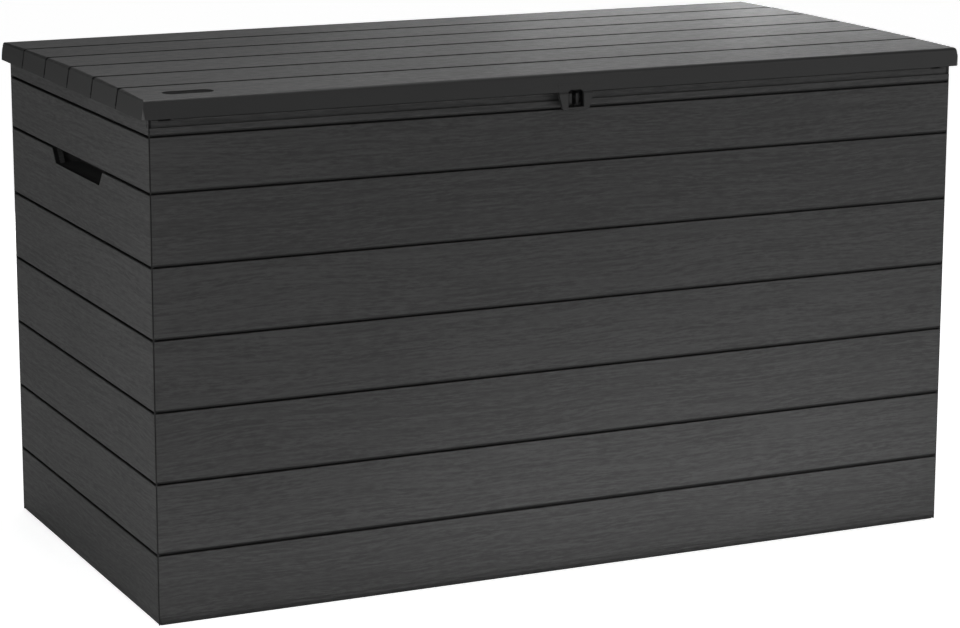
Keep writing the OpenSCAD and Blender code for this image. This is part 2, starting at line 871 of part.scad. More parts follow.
// Solid under the planks, which shows as the floor of the grooves
module lid_core() {
    d = lid_groove_depth;
    intersection() {
        translate([-total_w / 2, 0, 0])
            rotate([90, 0, 90])
                linear_extrude(total_w)
                    polygon(concat(
                        [[lid_front + d, skirt_z]],
                        [for (i = [0:lid_planks]) [plank_y(i) + (i == 0 ? d : i == lid_planks ? -d : 0), crown_z(i) - d]],
                        [[lid_back - d, skirt_z]]
                    ));
        union() {
            lid_end_prism(edge_z + crown_h, d);
            translate([-total_w / 2, -far / 2, skirt_z])
                cube([total_w, far, skirt_lip]);
        }
        lid_end_prism(edge_z + crown_h, 0);
    }
}

// Space inside the cover
module lid_cavity() {
    intersection() {
        translate([-total_w / 2, 0, 0])
            rotate([90, 0, 90])
                linear_extrude(total_w)
                    polygon(concat(
                        [[lid_front + cover_t, skirt_z - 1]],
                        [for (i = [0:lid_planks]) [
                            plank_y(i) + (i == 0 ? cover_t : i == lid_planks ? -cover_t : 0),
                            crown_z(i) - cover_t
                        ]],
                        [[lid_back - cover_t, skirt_z - 1]]
                    ));
        translate([0, far / 2, 0])
            rotate([90, 0, 0])
                linear_extrude(far)
                    polygon([
                        [total_w / 2 - cover_t, skirt_z - 1],
                        [total_w / 2 - cover_t - skirt_flare, edge_z - cover_t],
                        [total_w / 2 - cover_t - skirt_flare, far],
                        [-total_w / 2 + cover_t + skirt_flare, far],
                        [-total_w / 2 + cover_t + skirt_flare, edge_z - cover_t],
                        [-total_w / 2 + cover_t, skirt_z - 1]
                    ]);
    }
}

badge_l = 79;
badge_w = 28;
badge_t = 1.6;
badge_sink = 0.8;
badge_x = -side_x + 77;
badge_back = 50;
badge_rise = crown_z(1) - crown_z(0);

// Pill-shaped plate let into the front plank, or with a clearance its recess
module badge_shape(gap, t) {
    translate([badge_x, plank_y(0) + badge_back, crown_z(0) + badge_rise * badge_back / plank_pitch])
        rotate([atan2(badge_rise, plank_pitch), 0, 0])
            translate([0, 0, -badge_t - badge_sink])
                linear_extrude(t)
                    polygon(concat(
                        arc(badge_l / 2 - badge_w / 2, 0, badge_w / 2 + gap, -90, 90, 16),
                        arc(-badge_l / 2 + badge_w / 2, 0, badge_w / 2 + gap, 90, 270, 16)
                    ));
}

module lid_cover() {
    color(graphite)
        difference() {
            intersection() {
                union() {
                    for (i = [0:lid_planks - 1])
                        lid_plank(i);
                    lid_core();
                }
                linear_extrude(far)
                    rounded_plan(total_w / 2, lid_front, lid_back, lid_corner_r);
            }
            lid_cavity();
            window_cut(pass_gap);
            hood_blank();
            badge_shape(push_fit / 2, badge_t + badge_sink + 2);
        }
}

module badge_plate() { color(black) badge_shape(0, badge_t); }

// Liner: a flange under the cover and a pan that drops inside the rim
module lid_liner() {
    flange_x = total_w / 2 - skirt_flare - cover_t - push_fit;
    flange_front = top_front + cover_t + push_fit;
    flange_back = top_back - cover_t - push_fit;
    field_pitch = (2 * pan_x - 2 * field_margin + field_rib) / fields;
    color(graphite_dark)
        difference() {
            union() {
                translate([-flange_x, flange_front, flange_z])
                    cube([2 * flange_x, flange_back - flange_front, liner_t]);
                translate([-pan_x, mid_y - pan_y, flange_z - pan_depth])
                    cube([2 * pan_x, 2 * pan_y, pan_depth + 1]);
            }
            for (y = bar_ys)
                translate([-bar_l / 2 - push_fit, y - bar_w / 2 - push_fit, flange_z + liner_t - bar_h])
                    cube([bar_l + 2 * push_fit, bar_w + 2 * push_fit, bar_h + 1]);
            // shallow fields pressed into the underside of the pan
            for (i = [0:fields - 1])
                translate([-pan_x + field_margin + i * field_pitch, mid_y - pan_y + field_margin, flange_z - pan_depth - 1])
                    cube([field_pitch - field_rib, 2 * (pan_y - field_margin), 1 + field_depth]);
        }
}

module lid_bar(i) {
    color(steel)
        translate([-bar_l / 2, bar_ys[i] - bar_w / 2, flange_z + liner_t - bar_h])
            difference() {
                cube([bar_l, bar_w, bar_h]);
                translate([-1, bar_wall, bar_wall])
                    cube([bar_l + 2, bar_w - 2 * bar_wall, bar_h - 2 * bar_wall]);
            }
}

module lid_bumpers() {
    color(black)
        for (sx = [-1, 1], sy = [-1, 0, 1])
            translate([sx * (side_x - wall_t / 2), mid_y + sy * (inner_back - mid_y - 60), rim_z + seat_gap])
                cylinder(h = bumper_t - seat_gap, r = 6);
}

// ---- Gas struts ----

// Draws its children at the strut's foot, with +Z along the strut
module on_strut(side) {
    translate([side * strut_x, foot_y, foot_z])
        rotate([strut_lean, 0, 0])
            children();
}
module cross_pin(x0, x1, r) {
    translate([x0, 0, 0])
        rotate([0, 90, 0])
            cylinder(h = x1 - x0, r = r);
}

// Plate on the side wall with the stud that carries the strut's foot
module strut_foot(side) {
    color(zinc)
        mirror([side < 0 ? 1 : 0, 0, 0]) {
            translate([inner_x - strut_plate, foot_y - stud_plate_l / 2, foot_z - foot_plate_h / 2])
                cube([strut_plate, stud_plate_l, foot_plate_h]);
            translate([0, foot_y, foot_z])
                cross_pin(strut_x - eye_w / 2 - 2, inner_x - strut_plate + eps, stud_r);
        }
}

bore_r = cyl_r - 1.5;
gland_l = 8;
module strut_cylinder(side) {
    color(black)
        on_strut(side)
            difference() {
                union() {
                    cross_pin(-eye_w / 2, eye_w / 2, eye_ring_r);
                    cylinder(h = cyl_start + 1, r = rod_r);
                    translate([0, 0, cyl_start])
                        cylinder(h = cyl_l, r = cyl_r);
                }
                cross_pin(-eye_w, eye_w, stud_r + run_fit);
                translate([0, 0, cyl_start + 3])
                    cylinder(h = cyl_l - 3 - gland_l, r = bore_r);
                translate([0, 0, cyl_start + 3])
                    cylinder(h = cyl_l, r = rod_r + run_fit);
            }
}

// Rod with its piston inside the cylinder and a socket on the lid's end
piston_z = cyl_start + 4;
module strut_rod(side) {
    color(steel)
        on_strut(side) {
            translate([0, 0, piston_z])
                cylinder(h = 6, r = bore_r - run_fit);
            translate([0, 0, piston_z])
                cylinder(h = strut_len - piston_z, r = rod_r);
            translate([0, 0, strut_len])
                cross_pin(-eye_w / 2, eye_w / 2, eye_ring_r);
        }
}

// Bracket under the liner; its stud stops just short of the rod's socket
mount_reach = 12;
mount_foot = 7;
module strut_mount(side) {
    face_x = strut_x - eye_w / 2;
    plate_x = face_x - 3;
    color(zinc)
        mirror([side < 0 ? 1 : 0, 0, 0]) {
            translate([plate_x - strut_plate, stud_y - stud_plate_l / 2, stud_z - mount_reach])
                cube([strut_plate, stud_plate_l, flange_z - stud_z + mount_reach]);
            translate([plate_x - strut_plate - mount_foot, stud_y - stud_plate_l / 2, flange_z - strut_plate])
                cube([mount_foot + eps, stud_plate_l, strut_plate]);
            translate([0, stud_y, stud_z])
                cross_pin(plate_x - eps, face_x - push_fit, stud_r);
        }
}

// ---- What is drawn ----

front_panel();
front_rim();
back_panel();
left_panel();
right_panel();
floor_left();
floor_right();
floor_beam();
floor_feet();
post(-1, -1);  // corner_post_front_left
post(1, -1);  // corner_post_front_right
post(-1, 1);  // corner_post_back_left
post(1, 1);  // corner_post_back_right
corner_screws();
grip_cup(LEFT);  // grip_cup_left
grip_cup(RIGHT);  // grip_cup_right
lock_case();
lock_staple();
hinge_base(hinge_xs[0]);  // hinge_base_left
hinge_base(hinge_xs[1]);  // hinge_base_middle
hinge_base(hinge_xs[2]);  // hinge_base_right
hinge_leaf(hinge_xs[0]);  // hinge_leaf_left
hinge_leaf(hinge_xs[1]);  // hinge_leaf_middle
hinge_leaf(hinge_xs[2]);  // hinge_leaf_right
hinge_pin(hinge_xs[0]);  // hinge_pin_left
hinge_pin(hinge_xs[1]);  // hinge_pin_middle
hinge_pin(hinge_xs[2]);  // hinge_pin_right
lid_cover();
lid_liner();
lid_bar(0);  // lid_bar_front
lid_bar(1);  // lid_bar_middle
lid_bar(2);  // lid_bar_back
lid_bumpers();
lock_hood();
badge_plate();
strut_foot(LEFT);  // strut_foot_left
strut_foot(RIGHT);  // strut_foot_right
strut_cylinder(LEFT);  // strut_cylinder_left
strut_cylinder(RIGHT);  // strut_cylinder_right
strut_rod(LEFT);  // strut_rod_left
strut_rod(RIGHT);  // strut_rod_right
strut_mount(LEFT);  // strut_mount_left
strut_mount(RIGHT);  // strut_mount_right
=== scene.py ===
import math

import bpy
import numpy as np
from mathutils import Matrix, Vector


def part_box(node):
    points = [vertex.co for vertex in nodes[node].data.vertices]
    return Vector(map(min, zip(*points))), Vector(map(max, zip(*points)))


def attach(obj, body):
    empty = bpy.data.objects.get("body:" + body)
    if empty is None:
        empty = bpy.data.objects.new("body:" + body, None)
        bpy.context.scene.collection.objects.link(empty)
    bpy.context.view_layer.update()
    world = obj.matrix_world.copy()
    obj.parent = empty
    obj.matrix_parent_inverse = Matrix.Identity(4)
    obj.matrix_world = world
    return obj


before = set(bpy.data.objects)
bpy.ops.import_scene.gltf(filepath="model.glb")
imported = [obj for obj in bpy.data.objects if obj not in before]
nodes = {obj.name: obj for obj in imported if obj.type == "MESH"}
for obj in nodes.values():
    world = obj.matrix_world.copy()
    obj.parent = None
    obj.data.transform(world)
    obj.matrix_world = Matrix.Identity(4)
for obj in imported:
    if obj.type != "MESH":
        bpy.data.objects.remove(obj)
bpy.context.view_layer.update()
print("deck box: frame loaded,", len(nodes), "nodes")

camera = {
    "place": (-2.1255, -4.5597, 1.4660),
    "yaw": 25.0442,      # degrees to the right of straight ahead
    "pitch": 12.0926,    # degrees downwards
    "roll": 0.1002,
    "lens": 115.45,
    "sensor": 36.0,
    "shift": -0.025,     # upwards, as a share of the picture's width
    "nearest": 0.05,
    "farthest": 60.0,
}


# The view direction comes from yaw and pitch, and the picture's own right and up are turned by the roll.
def placeCamera(c):
    yaw, pitch, roll = (math.radians(c[k]) for k in ("yaw", "pitch", "roll"))
    ahead = Vector((math.sin(yaw) * math.cos(pitch), math.cos(yaw) * math.cos(pitch), -math.sin(pitch)))
    level = Vector((math.cos(yaw), -math.sin(yaw), 0.0))
    upright = level.cross(ahead)
    right = level * math.cos(roll) + upright * math.sin(roll)
    up = upright * math.cos(roll) - level * math.sin(roll)
    data = bpy.data.cameras.new("studioCamera")
    data.lens = c["lens"]
    data.sensor_width = c["sensor"]
    data.shift_y = c["shift"]
    data.clip_start, data.clip_end = c["nearest"], c["farthest"]
    obj = bpy.data.objects.new("studioCamera", data)
    turn = Matrix((right, up, -ahead)).transposed()
    obj.matrix_world = Matrix.Translation(Vector(c["place"])) @ turn.to_4x4()
    bpy.context.scene.collection.objects.link(obj)
    bpy.context.scene.camera = obj


placeCamera(camera)
bpy.context.scene.view_settings.view_transform = "Standard"
print("deck box: camera placed")


def newMaterial(name):
    material = bpy.data.materials.new(name)
    material.use_nodes = True
    material.node_tree.nodes.clear()
    return material


# Sets one input of a node to a plain value, or links it to the socket that feeds it.
def feed(tree, node, key, value):
    if isinstance(value, bpy.types.NodeSocket):
        tree.links.new(value, node.inputs[key])
    else:
        node.inputs[key].default_value = value


def put(tree, kind, inputs=None, **settings):
    node = tree.nodes.new(kind)
    for key, value in settings.items():
        setattr(node, key, value)
    for key, value in (inputs or {}).items():
        feed(tree, node, key, value)
    return node


def calc(tree, operation, a, b=0.0, c=0.0):
    return put(tree, "ShaderNodeMath", {0: a, 1: b, 2: c}, operation=operation).outputs[0]


def times(tree, a, b):
    return calc(tree, "MULTIPLY", a, b)


def minus(tree, a, b):
    return calc(tree, "SUBTRACT", a, b)


def magnitude(tree, a):
    return calc(tree, "ABSOLUTE", a)


# a b + c
def timesPlus(tree, a, b, c):
    return calc(tree, "MULTIPLY_ADD", a, b, c)


# 1 where a value lies closer to the middle than the given reach, and 0 elsewhere
def within(tree, value, middle, reach):
    return calc(tree, "LESS_THAN", magnitude(tree, minus(tree, value, middle)), reach)


def spread(tree, value, fromLow, fromHigh, toLow, toHigh, smooth=False):
    return put(tree, "ShaderNodeMapRange", {
        "Value": value, "From Min": fromLow, "From Max": fromHigh, "To Min": toLow, "To Max": toHigh,
    }, interpolation_type="SMOOTHSTEP" if smooth else "LINEAR").outputs["Result"]


def blendColours(tree, share, a, b):
    node = put(tree, "ShaderNodeMix", data_type="RGBA")
    for index, value in ((0, share), (6, a), (7, b)):    # the mix node's share and its two colours
        feed(tree, node, index, value)
    return node.outputs[2]


# A linear colour from an 8-bit display level; warmth above 1 makes it a little warmer.
def grey(level, warmth=1.0):
    s = level / 255.0
    linear = s / 12.92 if s <= 0.04045 else ((s + 0.055) / 1.055) ** 2.4
    return (linear * warmth, linear, linear / warmth, 1.0)


def noise(tree, vector, scale, detail=2.0, roughness=0.5):
    return put(tree, "ShaderNodeTexNoise", {
        "Vector": vector, "Scale": scale, "Detail": detail, "Roughness": roughness, "Distortion": 0.0,
    }).outputs["Fac"]


# Most values of a noise lie in the narrow span, and nearly all in the wide one.
narrowSpan = (0.35, 0.65)
wideSpan = (0.3, 0.7)


# How smooth and how rough a finish gets.
def roughRange(s):
    smoother, rougher = s["roughSpread"]
    return s["roughness"] - smoother, s["roughness"] + rougher


def objectPlace(tree):
    return put(tree, "ShaderNodeTexCoord").outputs["Object"]


def axesOf(tree, vector):
    outputs = put(tree, "ShaderNodeSeparateXYZ", {0: vector}).outputs
    return outputs[0], outputs[1], outputs[2]


def vectorOf(tree, x, y, z):
    return put(tree, "ShaderNodeCombineXYZ", {0: x, 1: y, 2: z}).outputs[0]


def stretched(tree, vector, scale, shift=(0.0, 0.0, 0.0)):
    return put(tree, "ShaderNodeMapping", {"Vector": vector, "Scale": scale, "Location": shift}).outputs[0]


def bumpOf(tree, height, distance, strength):
    return put(tree, "ShaderNodeBump", {
        "Height": height, "Distance": distance, "Strength": strength,
    }).outputs[0]


def surface(tree, **inputs):
    names = {"colour": "Base Color", "roughness": "Roughness", "normal": "Normal", "metallic": "Metallic",
             "ior": "IOR"}
    shader = put(tree, "ShaderNodeBsdfPrincipled", {names[key]: value for key, value in inputs.items()})
    put(tree, "ShaderNodeOutputMaterial", {"Surface": shader.outputs[0]})


def dress(material, *nodeNames):
    for nodeName in nodeNames:
        for materialSlot in nodes[nodeName].material_slots:
            materialSlot.material = material


resin = {
    "dark": 44,               # display level of the darkest streaks
    "light": 60,              # display level of the lightest streaks
    "paintedShadeLevel": 4,         # display level of the painted shade at the bottom of a slot or a groove
    "skirtLevel": 46,         # display level of the lid's plain skirt
    "skirtClouds": 2,         # how far its clouds depart from that
    "roughness": 0.55,
    "roughSpread": (0.05, 0.07),    # how much smoother and how much rougher it gets
    "skirtRoughness": 0.50,
    "sheenSpread": 0.22,      # how much the lid's roughness varies
    "ior": 1.46,
    "streakLength": 0.018,    # metres
    "streakWidth": 0.0024,
    "bandLength": 0.126,
    "bandWidth": 0.00408,
    "bandShare": 0.35,        # of the broad bands in the grain; the fine streaks have the rest
    "streakCells": 0.75,      # noise cells in one length or width of a streak
    "bends": (1.7, 5.0, 1.0),       # slow bends per metre, along and across a plank
    "wander": 0.045,          # metres by which the streaks bend sideways
    "clouds": (1.4, 6.0, 1.0),      # slow clouds in the tone, counted likewise
    "patches": (9.0, 40.0, 1.0),    # of stronger and weaker brushing
    "patchOffset": (3.0, 7.0, 0.0),
    "patchForce": (0.55, 1.45),     # the brushing's strength in the weakest and the strongest patches
    "plankShift": 17.0,       # metres between the patterns of two planks, at most
    "plankTone": 0.22,        # how much the planks differ in tone
    "cloudTone": 0.5,
    "contrast": 6.0,
    "relief": 0.00055,        # metres
    "sideRelief": 0.00100,    # on the two ends
    "lidRelief": 0.00085,
    "skirtRelief": 0.00005,
    "bumpStrength": 0.55,
}


# Streaks drawn out along a plank: both directions are counted in lengths and widths of one streak.
def streakNoise(t, along, across, length, width, layer, detail, roughness):
    place = vectorOf(t, calc(t, "DIVIDE", along, length), calc(t, "DIVIDE", across, width), layer)
    return noise(t, place, resin["streakCells"], detail, roughness)


# Brushed wood grain on one flat pattern, which each plank shifts by its own chance. The grain is a share of
# bands and the rest fine streaks, and tone = (grain - 1/2) contrast force + 1/2, plus slow clouds and the
# plank's own tone.
def brushedGrain(t, along, across, plank):
    s = resin
    chance = put(t, "ShaderNodeTexWhiteNoise", {"W": plank}, noise_dimensions="1D").outputs["Value"]
    shifted = timesPlus(t, chance, s["plankShift"], along)
    flat = vectorOf(t, shifted, across, 0.0)

    # slow bends carry the streaks sideways, so that some of them arch
    bend = noise(t, stretched(t, flat, s["bends"]), 1.0, detail=1.0)
    bent = timesPlus(t, bend, s["wander"], across)
    fine = streakNoise(t, shifted, bent, s["streakLength"], s["streakWidth"],
                       layer=0.0, detail=4.0, roughness=0.7)
    bands = streakNoise(t, shifted, bent, s["bandLength"], s["bandWidth"],
                        layer=4.0, detail=2.0, roughness=0.55)
    cloud = noise(t, stretched(t, flat, s["clouds"]), 1.0, detail=3.0)
    grain = timesPlus(t, fine, 1.0 - s["bandShare"], times(t, bands, s["bandShare"]))

    # the brushing is stronger in some patches than in others
    patch = noise(t, stretched(t, flat, s["patches"], s["patchOffset"]), 1.0)
    force = spread(t, patch, *narrowSpan, *s["patchForce"])
    streak = timesPlus(t, times(t, minus(t, grain, 0.5), s["contrast"]), force, 0.5)
    toned = timesPlus(t, minus(t, cloud, 0.5), s["cloudTone"], streak)
    toned = timesPlus(t, minus(t, chance, 0.5), s["plankTone"], toned)
    smoothest, roughest = roughRange(s)
    return {
        "flat": flat,
        "cloud": cloud,
        "colour": blendColours(t, toned, grey(s["dark"]), grey(s["light"])),
        "height": timesPlus(t, minus(t, grain, 0.5), force, 0.5),
        "roughness": spread(t, grain, *wideSpan, roughest, smoothest),
    }


courses = {
    "side": 0.690,                  # outer face of the two ends, from the middle
    "front": 0.349,                 # outer face of the front and the back
    "firstSlot": 0.1095,            # height of the lowest slot
    "pitch": 0.110,
    "collar": 0.755,                # above this the wall has no slots
    "slotDepth": (0.0001, 0.0011, 0.0026),    # depths at which a slot's painted shade begins, reaches three quarters, and is full
    "wallInside": (0.0070, 0.0080),           # from here on it isn't a slot but the wall's other face
    "foot": (0.0125, 0.0140),       # below this the plinth's slope gets less of the painted shade
    "footShade": 0.45,
    "drainPlace": (0.6645, 0.7681),     # x and z of the middle of the painted shade over a drain slot
    "drainReach": (0.0096, 0.0021),     # half the length and height of that painted shade
    "drainBehind": 0.0028,
    "sideEdge": (0.0010, 0.0004),       # so far inside their face the ends' own relief begins, and is full
}


# Painted shade for a point of the walls that lies in a slot or on the plinth's slope. It comes from the depth
# behind the walls' outer faces.
def slotShade(t, x, y, z):
    c = courses
    behind = calc(t, "MINIMUM", minus(t, c["side"], magnitude(t, x)), minus(t, c["front"], magnitude(t, y)))
    begin, deep, bottom = c["slotDepth"]
    mouth = spread(t, behind, begin, deep, 0.0, 0.75)
    inside = calc(t, "ADD", mouth, spread(t, behind, deep, bottom, 0.0, 0.25))
    inside = times(t, inside, spread(t, z, *c["foot"], c["footShade"], 1.0))
    inside = times(t, inside, spread(t, behind, *c["wallInside"], 1.0, 0.0))
    inside = times(t, inside, spread(t, z, c["collar"], c["collar"] + 0.001, 1.0, 0.0))
    # painted shade over the two drain slots, which also darkens the face just around them
    drainShade = within(t, magnitude(t, x), c["drainPlace"][0], c["drainReach"][0])
    drainShade = times(t, drainShade, within(t, z, c["drainPlace"][1], c["drainReach"][1]))
    drainShade = times(t, drainShade, calc(t, "GREATER_THAN", behind, c["drainBehind"]))
    return calc(t, "MAXIMUM", inside, drainShade)


# Along a course the pattern reads x + y, which runs the right way on the front, the back and the ends alike.
def wallResin(name):
    material = newMaterial(name)
    t = material.node_tree
    x, y, z = axesOf(t, objectPlace(t))
    course = calc(t, "FLOOR", calc(t, "DIVIDE", minus(t, z, courses["firstSlot"]), courses["pitch"]))
    g = brushedGrain(t, calc(t, "ADD", x, y), z, course)
    # painted shade: slots, the plinth's slope and the drain slots are blended towards a near-black level
    colour = blendColours(t, slotShade(t, x, y, z), g["colour"], grey(resin["paintedShadeLevel"]))
    far, near = courses["sideEdge"]
    lift = spread(t, magnitude(t, x), courses["side"] - far, courses["side"] - near,
                  resin["relief"], resin["sideRelief"])
    surface(t, colour=colour, roughness=g["roughness"], ior=resin["ior"],
            normal=bumpOf(t, g["height"], lift, resin["bumpStrength"]))
    return material


lidPlanks = {
    "front": -0.355,                    # front edge of the first plank
    "pitch": 0.712 / 6,
    "side": 0.6985,                     # half the length of the planks' flat tops
    "sideEdge": 0.0006,
    "top": 0.7985,                      # where the skirt has become the top
    "topEdge": 0.0012,
    "groove": (0.0044, 0.0052),         # half the width of a groove's full painted shade, and of where that shade has faded out
    "grooveShift": 0.0006,              # the shade leans this far towards the front
    "lastGroove": (0.30, 0.31),         # no groove lies further from the middle than this
    "endGroove": (0.0020, 0.0032),      # the same on the ends of the lid
    "endFace": (0.6940, 0.6950),
    "endShade": 0.85,
    "pebble": 900.0,                    # bumps per metre on the skirt
    "sheenPatches": (70.0, 100.0, 1.0),    # patches per metre
}


# Painted shade for a point of the lid that lies in a groove, and on the flat top just beside it. The row
# counts planks, so a whole number is a groove.
def grooveShade(t, x, y, onTop):
    p = lidPlanks
    row = calc(t, "DIVIDE", minus(t, y, p["front"]), p["pitch"])
    offGroove = times(t, minus(t, row, calc(t, "ROUND", row)), p["pitch"])
    between = spread(t, magnitude(t, y), *p["lastGroove"], 1.0, 0.0)
    nearGroove = magnitude(t, calc(t, "ADD", offGroove, p["grooveShift"]))
    inTop = times(t, spread(t, nearGroove, *p["groove"], 1.0, 0.0), between)
    # on the ends of the lid the same grooves run down the skirt, with painted shade in them
    inEnd = times(t, spread(t, magnitude(t, x), *p["endFace"], 0.0, p["endShade"]),
                  spread(t, magnitude(t, offGroove), *p["endGroove"], 1.0, 0.0))
    inEnd = times(t, inEnd, between)
    return calc(t, "MAXIMUM", times(t, inTop, onTop), times(t, inEnd, minus(t, 1.0, onTop)))


# Across a plank of the lid the pattern reads height, and on the flat top the depth as well. Below the top's
# edge the skirt is plain, with a fine even texture.
def lidResin(name):
    material = newMaterial(name)
    t = material.node_tree
    place = objectPlace(t)
    x, y, z = axesOf(t, place)
    p = lidPlanks
    isFlat = spread(t, magnitude(t, x), p["side"], p["side"] + p["sideEdge"], 1.0, 0.0)
    plank = calc(t, "FLOOR", calc(t, "DIVIDE", minus(t, y, p["front"]), p["pitch"]))
    g = brushedGrain(t, calc(t, "ADD", x, y), timesPlus(t, y, isFlat, z), plank)

    onTop = spread(t, z, p["top"], p["top"] + p["topEdge"], 0.0, 1.0, smooth=True)
    pebble = noise(t, place, p["pebble"])
    plain = blendColours(t, spread(t, g["cloud"], *narrowSpan, 0.0, 1.0),
                         grey(resin["skirtLevel"] - resin["skirtClouds"]),
                         grey(resin["skirtLevel"] + resin["skirtClouds"]))
    colour = blendColours(t, onTop, plain, g["colour"])
    height = timesPlus(t, minus(t, g["height"], pebble), onTop, pebble)
    # the sheen of the top comes and goes in patches of a centimetre
    sheen = minus(t, noise(t, stretched(t, g["flat"], p["sheenPatches"]), 1.0), 0.5)
    rough = timesPlus(t, sheen, resin["sheenSpread"], g["roughness"])
    rough = timesPlus(t, minus(t, rough, resin["skirtRoughness"]), onTop, resin["skirtRoughness"])
    lift = spread(t, z, p["top"], p["top"] + p["topEdge"], resin["skirtRelief"], resin["lidRelief"])
    # painted shade darkens the grooves, which are dull as well
    inGroove = grooveShade(t, x, y, onTop)
    surface(t, colour=blendColours(t, inGroove, colour, grey(resin["paintedShadeLevel"])),
            roughness=calc(t, "MAXIMUM", rough, inGroove), ior=resin["ior"],
            normal=bumpOf(t, height, lift, resin["bumpStrength"]))
    return material


dress(wallResin("grainedResinBody"), "front_panel", "front_rim", "back_panel", "left_panel", "right_panel")
dress(lidResin("grainedResinLid"), "lid_cover", "lock_hood")

innerResin = {
    "dark": 44,
    "light": 52,
    "roughness": 0.56,
    "roughSpread": (0.03, 0.04),
    "ior": 1.46,
    "clouds": 7.0,                   # per metre
    "cloudTone": 0.7,
    "scuffs": (36.0, 36.0, 120.0),   # per metre along x, y and z
    "scuffSpan": (0.58, 0.72),       # noise values between which a scuff sets in
    "scuffTone": 0.5,
    "scuffRoughness": 0.10,          # added in a scuff
    "pebble": 1300.0,                # bumps per metre
    "relief": 0.00010,               # metres
    "bumpStrength": 0.6,
}
# painted light: the grip cups are a lighter copy of the inner resin, which makes up for the shade inside them
paintedLightCupResin = {**innerResin, "dark": 60, "light": 68}
# painted shade: the posts' outer edges, where the corner joints show them, are painted dark
postResin = {**innerResin, "jointShadeLevel": 22, "jointShadeReach": 0.010}


# Plain moulded resin: a fine pebbled texture, with slow clouds in its tone and a few matter, scuffed places.
def mouldedResin(name, s):
    material = newMaterial(name)
    t = material.node_tree
    place = objectPlace(t)
    pebble = noise(t, place, s["pebble"], detail=1.0)
    cloud = noise(t, place, s["clouds"], detail=3.0, roughness=0.6)
    scuff = noise(t, stretched(t, place, s["scuffs"]), 1.0, detail=4.0, roughness=0.7)
    scuffed = spread(t, scuff, *s["scuffSpan"], 0.0, 1.0, smooth=True)
    tone = timesPlus(t, scuffed, s["scuffTone"], spread(t, cloud, *narrowSpan, 0.0, s["cloudTone"]))
    colour = blendColours(t, tone, grey(s["dark"]), grey(s["light"]))
    # painted shade where the corner joints show the posts
    if "jointShadeLevel" in s:
        x, y = axesOf(t, place)[:2]
        outside = times(t, calc(t, "GREATER_THAN", magnitude(t, x), courses["side"] - s["jointShadeReach"]),
                        calc(t, "GREATER_THAN", magnitude(t, y), courses["front"] - s["jointShadeReach"]))
        colour = blendColours(t, outside, colour, grey(s["jointShadeLevel"]))
    rough = timesPlus(t, scuffed, s["scuffRoughness"], spread(t, cloud, *wideSpan, *roughRange(s)))
    surface(t, colour=colour, roughness=rough, ior=s["ior"],
            normal=bumpOf(t, pebble, s["relief"], s["bumpStrength"]))
    return material


dress(mouldedResin("mouldedResin", innerResin),
      "floor_left", "floor_right", "floor_beam", "lid_liner", "lock_case")
dress(mouldedResin("mouldedCupPaintedLight", paintedLightCupResin), "grip_cup_left", "grip_cup_right")
dress(mouldedResin("mouldedPost", postResin),
      "corner_post_front_left", "corner_post_front_right", "corner_post_back_left", "corner_post_back_right")

rubber = {
    "dark": 26,
    "light": 34,
    "warmth": 1.02,
    "roughness": 0.80,
    "roughSpread": (0.06, 0.08),
    "dust": 40.0,                # patches per metre
    "dustSpan": (0.45, 0.75),    # noise values between which dust sets in
    "grain": 1800.0,
    "relief": 0.00006,
    "bumpStrength": 0.5,
}


# Matt rubber: a fine grain, with lighter dust in patches.
def mattRubber(name, s):
    material = newMaterial(name)
    t = material.node_tree
    place = objectPlace(t)
    fine = noise(t, place, s["grain"])
    dust = noise(t, place, s["dust"], detail=4.0, roughness=0.65)
    dust = spread(t, dust, *s["dustSpan"], 0.0, 1.0)
    colour = blendColours(t, dust, grey(s["dark"]), grey(s["light"], s["warmth"]))
    rough = spread(t, dust, 0.0, 1.0, *roughRange(s))
    surface(t, colour=colour, roughness=rough, normal=bumpOf(t, fine, s["relief"], s["bumpStrength"]))
    return material


dress(mattRubber("mattRubber", rubber), "floor_feet", "lid_bumpers")

zincPlate = {
    "dark": 150,
    "light": 188,
    "warmth": 1.01,
    "roughness": 0.34,
    "roughSpread": (0.08, 0.10),
    "streaks": (900.0, 900.0, 900.0),    # how often the tone changes in a metre, along x, y and z
    "streakTone": 0.8,
    "crystals": 420.0,                   # per metre
    "crystalTone": 0.35,
    "relief": 0.00003,
    "bumpStrength": 0.5,
}
zincBar = {**zincPlate, "streaks": (30.0, 900.0, 900.0)}
groundRod = {**zincPlate, "dark": 170, "light": 205, "roughness": 0.20, "streaks": (900.0, 500.0, 60.0)}
zincHead = {**zincPlate, "dark": 128, "light": 170, "roughness": 0.36}


# Zinc plating: small crystals under fine streaks, which run along a bar or a rod and are even on a screw.
def platedSteel(name, s):
    material = newMaterial(name)
    t = material.node_tree
    place = objectPlace(t)
    streak = noise(t, stretched(t, place, s["streaks"]), 1.0, detail=3.0, roughness=0.6)
    crystal = put(t, "ShaderNodeTexVoronoi", {"Vector": place, "Scale": s["crystals"]}).outputs["Distance"]
    tone = timesPlus(t, crystal, s["crystalTone"], spread(t, streak, *wideSpan, 0.0, s["streakTone"]))
    colour = blendColours(t, tone, grey(s["dark"]), grey(s["light"], s["warmth"]))
    rough = spread(t, streak, *wideSpan, *roughRange(s))
    surface(t, colour=colour, roughness=rough, metallic=1.0,
            normal=bumpOf(t, streak, s["relief"], s["bumpStrength"]))
    return material


dress(platedSteel("platedFasteners", zincPlate),
      "corner_screws", "hinge_pin_left", "hinge_pin_middle", "hinge_pin_right")
dress(platedSteel("drawnSteel", zincBar), "lid_bar_front", "lid_bar_middle", "lid_bar_back")
dress(platedSteel("groundSteel", groundRod), "strut_rod_left", "strut_rod_right")

